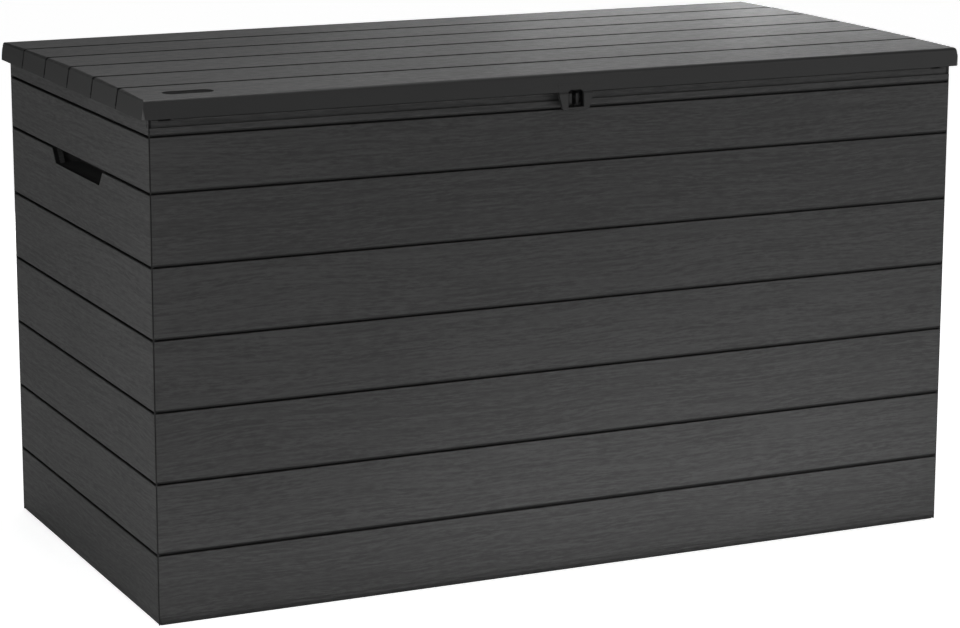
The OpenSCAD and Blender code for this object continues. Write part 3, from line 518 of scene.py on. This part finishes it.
powderCoat = {
    "dark": 44,
    "light": 52,
    "roughness": 0.44,
    "roughSpread": (0.06, 0.06),
    "clouds": 60.0,      # per metre
    "peel": 620.0,
    "relief": 0.00012,
    "bumpStrength": 0.6,
}
rivetCoat = {**powderCoat, "dark": 40, "light": 48, "roughness": 0.40}


# Powder coat: an even orange-peel surface, a little shinier on its high spots.
def coatedSteel(name, s):
    material = newMaterial(name)
    t = material.node_tree
    place = objectPlace(t)
    peel = noise(t, place, s["peel"], detail=1.0, roughness=0.4)
    cloud = noise(t, place, s["clouds"], detail=3.0)
    colour = blendColours(t, spread(t, cloud, *narrowSpan, 0.0, 1.0), grey(s["dark"]), grey(s["light"]))
    smoothest, roughest = roughRange(s)
    rough = spread(t, peel, *wideSpan, roughest, smoothest)
    surface(t, colour=colour, roughness=rough, normal=bumpOf(t, peel, s["relief"], s["bumpStrength"]))
    return material


dress(coatedSteel("powderCoat", powderCoat),
      "hinge_base_left", "hinge_base_middle", "hinge_base_right",
      "hinge_leaf_left", "hinge_leaf_middle", "hinge_leaf_right",
      "strut_foot_left", "strut_foot_right", "strut_mount_left", "strut_mount_right", "lock_staple")

badge = {
    "dark": 12,
    "light": 17,
    "roughness": 0.78,
    "roughSpread": (0.05, 0.08),
    "ior": 1.18,
    "wiping": (60.0, 400.0, 400.0),    # streaks per metre along x, y and z
    "specks": 2400.0,
    "relief": 0.00003,
    "bumpStrength": 0.4,
}


# Satin plastic of the bare plate: near black, with faint wiped streaks in its tone and gloss.
def satinPlate(name, s):
    material = newMaterial(name)
    t = material.node_tree
    place = objectPlace(t)
    wipe = noise(t, stretched(t, place, s["wiping"]), 1.0, detail=3.0)
    speck = noise(t, place, s["specks"], detail=1.0)
    colour = blendColours(t, spread(t, wipe, *narrowSpan, 0.0, 1.0), grey(s["dark"]), grey(s["light"]))
    surface(t, colour=colour, roughness=spread(t, wipe, *wideSpan, *roughRange(s)), ior=s["ior"],
            normal=bumpOf(t, speck, s["relief"], s["bumpStrength"]))
    return material


dress(satinPlate("satinPlate", badge), "badge_plate")

enamel = {
    "dark": 17,
    "light": 22,
    "roughness": 0.24,
    "roughSpread": (0.04, 0.05),
    "ripples": 160.0,           # per metre
    "dust": 900.0,
    "dustSpan": (0.5, 0.8),     # noise values between which dust sets in
    "dustRoughness": 0.2,       # added where dust lies
    "relief": 0.00004,
    "bumpStrength": 0.5,
}
ringEnamel = {**enamel, "dark": 20, "light": 26, "roughness": 0.34}


# Enamelled tube: smooth and glossy, with a slight ripple and a thin film of dust.
def enamelledTube(name, s):
    material = newMaterial(name)
    t = material.node_tree
    place = objectPlace(t)
    ripple = noise(t, place, s["ripples"], roughness=0.4)
    dust = noise(t, place, s["dust"], detail=3.0, roughness=0.7)
    dust = spread(t, dust, *s["dustSpan"], 0.0, 1.0)
    colour = blendColours(t, dust, grey(s["dark"]), grey(s["light"]))
    rough = timesPlus(t, dust, s["dustRoughness"], spread(t, ripple, *wideSpan, *roughRange(s)))
    surface(t, colour=colour, roughness=rough, normal=bumpOf(t, ripple, s["relief"], s["bumpStrength"]))
    return material


dress(enamelledTube("enamelledTube", enamel), "strut_cylinder_left", "strut_cylinder_right")
fastenerMetal = platedSteel("platedHeads", zincHead)
ringPaint = enamelledTube("enamelledRings", ringEnamel)
print("deck box: finishes ready")


def cadPlace(name):
    low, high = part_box(name)
    return np.array(low), np.array(high)


def addPiece(name, points, faces, material, body, slotName, smoothAngle=40.0):
    mesh = bpy.data.meshes.new(name)
    mesh.from_pydata([tuple(p) for p in np.asarray(points).tolist()], [], [tuple(f) for f in faces])
    mesh.update()
    mesh.materials.append(material)
    mesh.shade_smooth()
    mesh.set_sharp_from_angle(angle=math.radians(smoothAngle))
    obj = bpy.data.objects.new(name, mesh)
    bpy.context.scene.collection.objects.link(obj)
    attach(obj, body)
    return obj


# Two directions square to an axis. From the first to the second is anticlockwise, seen from the axis' tip.
def sideways(axis):
    axis = np.asarray(axis, float) / np.linalg.norm(axis)
    helper = np.array((0.0, 0.0, 1.0)) if abs(axis[2]) < 0.9 else np.array((0.0, 1.0, 0.0))
    first = np.cross(helper, axis)
    first /= np.linalg.norm(first)
    return first, np.cross(axis, first), axis


# Turns a profile round an axis: point = centre + radius (cos a first + sin a second) + height axis. The
# profile runs from the outer foot inwards and up, so that its faces look outward, and radius 0 ends it in one
# point.
def turned(profile, centre, axis, steps):
    first, second, up = sideways(axis)
    angles = np.linspace(0.0, 2 * math.pi, steps, endpoint=False)
    ring = np.cos(angles)[:, None] * first + np.sin(angles)[:, None] * second
    points, faces = [], []
    for radius, height in profile:
        points.append(np.asarray(centre) + radius * ring + height * up)
    points = np.concatenate(points)
    k = np.arange(steps)
    for row in range(len(profile) - 1):
        a, b = row * steps, (row + 1) * steps
        faces += np.stack([a + k, a + (k + 1) % steps, b + (k + 1) % steps, b + k], 1).tolist()
    return points, faces


def joined(parts):
    points, faces, start = [], [], 0
    for p, f in parts:
        points.append(p)
        faces += [[i + start for i in face] for face in f]
        start += len(p)
    return np.concatenate(points), faces


panHead = {
    "rings": 15,
    "steps": 48,
    "dome": 0.35,         # how far the head's edge lies below its top, as a share of its height
    "slotLength": 0.60,   # of the head's radius
    "slotWidth": 0.17,
    "slotDepth": 0.55,    # of the head's height
    "slotEnd": 0.18,      # over this share of the radius a slot rises to its end
    "slotSide": 0.06,
}


# A pan head with a cross recess. A ring at radius r, as a share of the head's, stands at h (1 - dome r^4). A
# point in one of the two crossed slots drops by the slot's depth, less so towards the slot's end.
def screwHead(centre, axis, radius, height, turn=0.0):
    h = panHead
    first, second, up = sideways(axis)
    share = np.linspace(1.0, 0.0, h["rings"])[:-1]
    angles = np.linspace(0.0, 2 * math.pi, h["steps"], endpoint=False)
    r, a = np.meshgrid(share, angles, indexing="ij")
    u, v = r * np.cos(a - turn), r * np.sin(a - turn)
    plain = 1.0 - h["dome"] * r ** 4
    high = plain
    for m, n in ((u, v), (v, u)):
        inSlot = np.clip((h["slotWidth"] - np.abs(n)) / h["slotSide"], 0, 1)
        inSlot = inSlot * np.clip((h["slotLength"] - np.abs(m)) / h["slotEnd"], 0, 1)
        high = np.minimum(high, plain - h["slotDepth"] * inSlot)
    ring = np.cos(a)[..., None] * first + np.sin(a)[..., None] * second
    top = np.asarray(centre) + radius * r[..., None] * ring + height * high[..., None] * up
    foot = np.asarray(centre) + radius * ring[0]
    middle = np.asarray(centre) + height * (1.0 - h["slotDepth"]) * up
    points = np.concatenate([foot, top.reshape(-1, 3), middle[None]])
    k = np.arange(h["steps"])
    nextK = (k + 1) % h["steps"]
    faces = []
    for row in range(len(share)):
        lower, upper = row * h["steps"], (row + 1) * h["steps"]
        faces += np.stack([lower + k, lower + nextK, upper + nextK, upper + k], 1).tolist()
    last = len(share) * h["steps"]
    faces += [[last + i, last + (i + 1) % h["steps"], len(points) - 1] for i in range(h["steps"])]
    return points, faces


hingeScrews = {
    "across": 0.031,        # distance of the outer screws from the hinge's middle
    "belowTop": 0.0315,     # below the top of the base leaf
    "plate": 0.0025,        # thickness of the base leaf
    "radius": 0.0042,
    "height": 0.0019,
    "turns": (0.3, 1.1, 0.7),    # of the three heads, in radians
    "leafAcross": 0.034,
    "leafInset": 0.006,     # from the lid leaf's front edge
    "leafLevel": 0.7856,    # underside of the lid leaf
    "leafRadius": 0.0036,
    "leafHeight": 0.00028,
    "leafTurn": 40,         # radians per metre from the middle
}


# Three pan-head screws hold each base leaf to the back wall, and two flat heads the lid leaf to the liner.
def hingeFasteners(side, s):
    low, high = cadPlace("hinge_base_" + side)
    middleX, face, level = (low[0] + high[0]) / 2, low[1] + s["plate"], high[2] - s["belowTop"]
    heads = [screwHead((middleX + step * s["across"], face, level), (0, 1, 0), s["radius"], s["height"], turn)
             for step, turn in zip((-1, 0, 1), s["turns"])]
    addPiece("hinge_screws_" + side, *joined(heads), fastenerMetal, "body", "steel_bright")
    leafY = cadPlace("hinge_leaf_" + side)[0][1] + s["leafInset"]
    heads = [screwHead((middleX + dx, leafY, s["leafLevel"]), (0, 0, -1), s["leafRadius"],
                       s["leafHeight"], dx * s["leafTurn"]) for dx in (-s["leafAcross"], s["leafAcross"])]
    addPiece("leaf_screws_" + side, *joined(heads), fastenerMetal, "lid", "steel_bright")


for hingeSide in ("left", "middle", "right"):
    hingeFasteners(hingeSide, hingeScrews)
print("deck box: hinge screws set")

strut = {
    "x": 0.661,
    "footY": 0.286,             # lower stud
    "footZ": 0.585,
    "studY": 0.201,             # upper stud, with the lid shut
    "studZ": 0.768,
    "tubeStart": 0.009,         # along the strut, from its lower stud
    "tubeLength": 0.148,
    "tubeRadius": 0.009,
    "rodRadius": 0.004,
    "eyeRadius": 0.008,
    "nutRadius": 0.0058,
    "nutFlat": 0.0042,          # radius of the nut's end faces inside the chamfer
    "nutHeight": 0.0055,
    "nutBelow": 0.0062,         # from the rod's eye down to the nut's lower end
    "screwApart": 0.0135,       # from the stud to each screw of its plate
    "footPlate": 0.003,         # thickness of the lower plate
    "footScrew": (0.0036, 0.0017),     # radius and height of the head
    "footScrewLevel": 0.008,    # above the plate's lower edge
    "footScrewTurn": 60,        # radians per metre from the stud
    "mountInset": 0.0034,       # from the upper bracket's inner edge to its screws
    "mountScrew": (0.0026, 0.0014),
    "mountScrewTurn": 50,
    "mountLevel": 0.785,        # underside of the upper bracket's flange
    "clip": [(0.0040, 0.00625), (0.0066, 0.00625), (0.0066, 0.0071), (0.0062, 0.0074), (0.0040, 0.0074)],
}


# Painted rings on the tube: a crimped collar with the rod's seal at its mouth, a rolled bead and a foot ring.
# Heights count along the strut from its foot.
def tubeRings(foot, along, s):
    start, mouth = s["tubeStart"], s["tubeStart"] + s["tubeLength"]
    tube, rod = s["tubeRadius"], s["rodRadius"]
    collar = [(tube - 0.0004, mouth - 0.0075), (tube + 0.0003, mouth - 0.0070),
              (tube + 0.0003, mouth - 0.0008), (tube - 0.0009, mouth + 0.0004),
              (rod + 0.0022, mouth + 0.0004), (rod + 0.0018, mouth + 0.0016),
              (rod + 0.0005, mouth + 0.0018), (rod + 0.00035, mouth + 0.0003)]
    bead = [(tube - 0.0002, mouth - 0.0175), (tube + 0.00028, mouth - 0.0168),
            (tube + 0.00028, mouth - 0.0160), (tube - 0.0002, mouth - 0.0153)]
    base = [(0.0048, start - 0.0006), (tube - 0.0008, start - 0.0006), (tube + 0.0003, start + 0.0004),
            (tube + 0.0003, start + 0.0030), (tube - 0.0002, start + 0.0036)]
    return [turned(profile, foot, along, steps=40) for profile in (collar, bead, base)]


# A hexagon nut below the rod's eye, with both edges chamfered.
def rodNut(foot, along, length, s):
    low = length - s["eyeRadius"] - s["nutBelow"]
    high = low + s["nutHeight"]
    hole, flat, wide = s["rodRadius"] + 0.0001, s["nutFlat"], s["nutRadius"]
    profile = [(hole, low), (flat, low), (wide, low + 0.0007),
               (wide, high - 0.0007), (flat, high), (hole, high)]
    return turned(profile, foot, along, steps=6)


# Two screws beside a stud, at equal distances along y.
def studScrews(x, y, z, axis, head, apart, turn):
    return joined([screwHead((x, y + dy, z), axis, *head, dy * turn) for dy in (-apart, apart)])


# All that the scene adds to one strut: its painted rings, the rod's nut, the clip that holds the tube's eye
# on the lower stud, and the screws of both plates.
def strutFittings(name, side, s):
    foot = np.array((side * s["x"], s["footY"], s["footZ"]))
    reach = np.array((side * s["x"], s["studY"], s["studZ"])) - foot
    length = np.linalg.norm(reach)
    along = reach / length
    inward = np.array((-side, 0.0, 0.0))
    tubeBody, shaftBody = "strut_" + name + "_tube", "strut_" + name + "_shaft"
    addPiece("strut_rings_" + name, *joined(tubeRings(foot, along, s)), ringPaint, tubeBody, "cylinder_black")
    nut = rodNut(foot, along, length, s)
    addPiece("strut_nut_" + name, *nut, fastenerMetal, shaftBody, "steel_bright", smoothAngle=20.0)
    clip = turned(s["clip"], foot, inward, steps=32)
    addPiece("strut_clip_" + name, *clip, fastenerMetal, "body", "steel_bright")
    low, high = cadPlace("strut_foot_" + name)
    face = side * (max(abs(low[0]), abs(high[0])) - s["footPlate"])
    level = low[2] + s["footScrewLevel"]
    heads = studScrews(face, s["footY"], level, inward, s["footScrew"], s["screwApart"], s["footScrewTurn"])
    addPiece("strut_foot_screws_" + name, *heads, fastenerMetal, "body", "steel_bright")
    low, high = cadPlace("strut_mount_" + name)
    flange = side * (min(abs(low[0]), abs(high[0])) + s["mountInset"])
    heads = studScrews(flange, s["studY"], s["mountLevel"], (0, 0, -1), s["mountScrew"], s["screwApart"],
                       s["mountScrewTurn"])
    addPiece("strut_mount_screws_" + name, *heads, fastenerMetal, "lid", "steel_bright")


strutFittings("left", -1, strut)
strutFittings("right", 1, strut)
print("deck box: strut fittings set")

stapleRivets = {
    "plate": 0.003,       # thickness of the staple's plate
    "across": 0.0162,     # from the staple's middle
    "inset": 0.006,       # from the plate's upper and lower edge
    "dome": [(0.0026, 0.0), (0.0025, 0.0006), (0.0020, 0.0011),
             (0.0012, 0.0014), (0.0003, 0.0015), (0.0, 0.0015)],
}


# Domed rivets hold the staple's plate in its pocket.
def addRivets(s):
    low, high = cadPlace("lock_staple")
    face = high[1] - s["plate"]
    rivets = [turned(s["dome"], (x, face, z), (0, -1, 0), steps=24)
              for x in (-s["across"], s["across"]) for z in (low[2] + s["inset"], high[2] - s["inset"])]
    addPiece("staple_rivets", *joined(rivets), coatedSteel("coatedRivets", rivetCoat), "body", "steel_coated")


addRivets(stapleRivets)

postScrews = {
    "radius": 0.0039,
    "height": 0.0008,
    "levels": (0.096, 0.3745, 0.713),
    "inset": 0.01565,     # from the inner face of the other wall
    "wallX": 0.674,       # inner faces of the walls
    "wallY": 0.333,
    "stack": 0.005,       # post and head together
    "turns": (0.5, 0.9),    # radians from one level to the next, for heads along y and along x
}


# Cross-recessed faces of the screws in the corner posts, laid over the plain heads: at each level one looks
# along y and one along x.
def addPostScrews(p):
    heads = []
    for sx in (-1, 1):
        for sy in (-1, 1):
            nearX, farX = sx * (p["wallX"] - p["stack"]), sx * (p["wallX"] - p["inset"])
            nearY, farY = sy * (p["wallY"] - p["stack"]), sy * (p["wallY"] - p["inset"])
            for k, z in enumerate(p["levels"]):
                turnY, turnX = p["turns"][0] * k + sx, p["turns"][1] * k + sy
                heads.append(screwHead((farX, nearY, z), (0, -sy, 0), p["radius"], p["height"], turnY))
                heads.append(screwHead((nearX, farY, z), (-sx, 0, 0), p["radius"], p["height"], turnX))
    addPiece("post_screw_faces", *joined(heads), fastenerMetal, "body", "steel_bright")


addPostScrews(postScrews)

collarBead = {
    "radius": 0.0016,
    "level": 0.7678,
    "face": -0.346,               # the collar's front
    "sunk": 0.0002,
    "lockGap": 0.030,             # half the space left for the lock
    "drain": (0.6535, 0.6755),    # the space left for a drain slot
    "reach": 0.684,
    "arcSteps": 12,
    "ends": ((0.0, 0.15), (0.0008, 0.7), (0.002, 1.0)),    # distance from an end, share of the radius there
}


# A half-round bead along the collar: a half circle moved along x, with its ends drawn in.
def beadLength(x0, x1, b):
    away, size = np.array(b["ends"]).T
    stations = np.concatenate([x0 + away, (x1 - away)[::-1]])
    size = np.concatenate([size, size[::-1]])
    angles = np.linspace(-math.pi / 2, math.pi / 2, b["arcSteps"] + 1)
    x, a = np.meshgrid(stations, angles, indexing="ij")
    r = b["radius"] * size[:, None]
    points = np.stack([x, b["face"] + b["sunk"] - r * np.cos(a), b["level"] + r * np.sin(a)], -1)
    i, k = np.meshgrid(np.arange(len(stations) - 1), np.arange(b["arcSteps"]), indexing="ij")
    row = b["arcSteps"] + 1
    first = (i * row + k).ravel()
    return points.reshape(-1, 3), np.stack([first, first + row, first + row + 1, first + 1], 1).tolist()


# Its lengths leave the lock and the two drain slots free.
def addCollarBead(b):
    rightEnds = [(b["lockGap"], b["drain"][0]), (b["drain"][1], b["reach"])]
    ends = [(-high, -low) for low, high in rightEnds] + rightEnds
    wallMaterial = nodes["front_rim"].material_slots[0].material
    lengths = [beadLength(low, high, b) for low, high in ends]
    addPiece("collar_bead", *joined(lengths), wallMaterial, "body", "resin_graphite")


addCollarBead(collarBead)
print("deck box: small fasteners set")

studio = {
    "floorLevel": 0.86,
    "floorSize": 30.0,
    "floorGlow": 0.71,                # added where the camera sees the floor
    "ambient": 0.38,                  # level of the surroundings for everything but gloss
    "leftDim": 0.80,                  # how much less of it comes from the left
    "leftDimFrom": (-0.9, -0.1),      # from the far left to nearly the middle
    "glossLeft": 0.005,               # what gloss rays meet to the left and in front
    "glossRight": 1.004,              # what they meet behind on the right
    "glossFrom": (0.6, 1.0),
    "glossAim": (0.82, 0.57),         # the direction, seen from above, in which it is brightest
    "backdrop": 1.0,
    "lamps": [
        # name, place, aim, width, height, watts
        ("frontRightSoftbox", (4.0, -4.5, 2.5), (0.0, 0.0, 0.4), 3.0, 2.0, 35.51),
        ("backRightSoftbox", (2.2, 2.2, 1.15), (0.5, 0.2, 0.8), 1.4, 0.5, 2.97),
        ("backMiddleSoftbox", (1.0, 2.1, 1.12), (0.3, 0.2, 0.8), 0.8, 0.5, 1.53),
        ("backNearStrip", (1.0, 1.3, 1.0), (0.5, 0.2, 0.8), 0.6, 0.3, 1.52),
        ("cornerStrip", (1.15, 0.75, 0.9), (0.5, 0.3, 0.8), 0.5, 0.12, 1.25),
        ("edgeLeftSoftbox", (-1.6, -1.0, 1.35), (-0.69, -0.2, 0.75), 0.7, 0.6, 1.48),
        ("lidLeftSoftbox", (-0.52, -0.22, 1.3), (-0.52, -0.22, 0.8), 0.5, 0.4, 1.28),
        ("leftStrip", (-1.5, -0.6, 0.6), (-0.69, -0.3, 0.45), 0.2, 1.2, 3.93),
        ("lowFrontRight", (2.0, -1.9, 0.3), (0.6, -0.35, 0.1), 1.2, 0.5, 3.68),
        ("lowStripRight", (0.45, -0.85, 0.05), (0.45, -0.349, 0.06), 1.2, 0.08, 1.05),
        ("lowStripMiddle", (0.1, -1.1, 0.05), (0.1, -0.349, 0.05), 1.8, 0.08, 0.58),
        ("overheadSoftbox", (0.0, 0.1, 2.6), (0.0, 0.1, 0.8), 2.0, 1.2, 12.0),
        ("footStrip", (0.0, -0.58, 0.03), (0.0, -0.349, 0.04), 1.5, 0.04, 0.35),
        ("backWallSoftbox", (0.3, 3.0, 0.4), (0.0, 0.35, 0.4), 2.4, 0.6, 14.4),
        ("rightWallSoftbox", (3.3, 0.3, 0.4), (0.69, 0.0, 0.4), 1.6, 0.6, 14.0),
    ],
}


def addLamp(name, place, aim, width, height, watts):
    data = bpy.data.lights.new(name, "AREA")
    data.shape = "RECTANGLE"
    data.size, data.size_y, data.energy = width, height, watts
    obj = bpy.data.objects.new(name, data)
    obj.rotation_mode = "QUATERNION"
    obj.location = place
    obj.rotation_quaternion = (Vector(aim) - Vector(place)).to_track_quat("-Z", "Y")
    obj.visible_camera = False
    bpy.context.scene.collection.objects.link(obj)


# A pale matt floor that glows a little for the camera alone, so that it meets the backdrop without a line.
def buildFloor(s):
    half = s["floorSize"] / 2
    corners = [(-half, -half, 0), (half, -half, 0), (half, half, 0), (-half, half, 0)]
    mesh = bpy.data.meshes.new("studioFloor")
    mesh.from_pydata(corners, [], [(0, 1, 2, 3)])
    floor = bpy.data.objects.new("studioFloor", mesh)
    bpy.context.scene.collection.objects.link(floor)
    material = newMaterial("paleFloor")
    t = material.node_tree
    diffuse = put(t, "ShaderNodeBsdfDiffuse", {"Color": (s["floorLevel"],) * 3 + (1.0,)})
    rays = put(t, "ShaderNodeLightPath").outputs
    glow = put(t, "ShaderNodeEmission", {"Strength": times(t, rays["Is Camera Ray"], s["floorGlow"])})
    both = put(t, "ShaderNodeAddShader", {0: diffuse.outputs[0], 1: glow.outputs[0]})
    put(t, "ShaderNodeOutputMaterial", {"Surface": both.outputs[0]})
    mesh.materials.append(material)


# The camera meets a white backdrop, gloss rays meet a studio that brightens to the back right, and all other
# rays meet a level that fades to the left.
def buildWorld(s):
    world = bpy.data.worlds.new("studioWorld")
    bpy.context.scene.world = world
    world.use_nodes = True
    t = world.node_tree
    t.nodes.clear()
    rays = put(t, "ShaderNodeLightPath").outputs
    mirrored = calc(t, "MAXIMUM", rays["Is Glossy Ray"], rays["Is Transmission Ray"])
    x, y = axesOf(t, put(t, "ShaderNodeTexCoord").outputs["Generated"])[:2]
    toRight = timesPlus(t, x, s["glossAim"][0], times(t, y, s["glossAim"][1]))
    glossy = spread(t, toRight, *s["glossFrom"], s["glossLeft"], s["glossRight"], smooth=True)
    level = timesPlus(t, rays["Is Camera Ray"], s["backdrop"], times(t, mirrored, glossy))
    other = minus(t, 1.0, calc(t, "MAXIMUM", rays["Is Camera Ray"], mirrored))
    even = spread(t, x, *s["leftDimFrom"], s["ambient"] * (1.0 - s["leftDim"]), s["ambient"], smooth=True)
    level = timesPlus(t, other, even, level)
    back = put(t, "ShaderNodeBackground", {"Color": (1, 1, 1, 1), "Strength": level})
    put(t, "ShaderNodeOutputWorld", {"Surface": back.outputs[0]})


for lamp in studio["lamps"]:
    addLamp(*lamp)
buildFloor(studio)
buildWorld(studio)
print("deck box: studio ready")
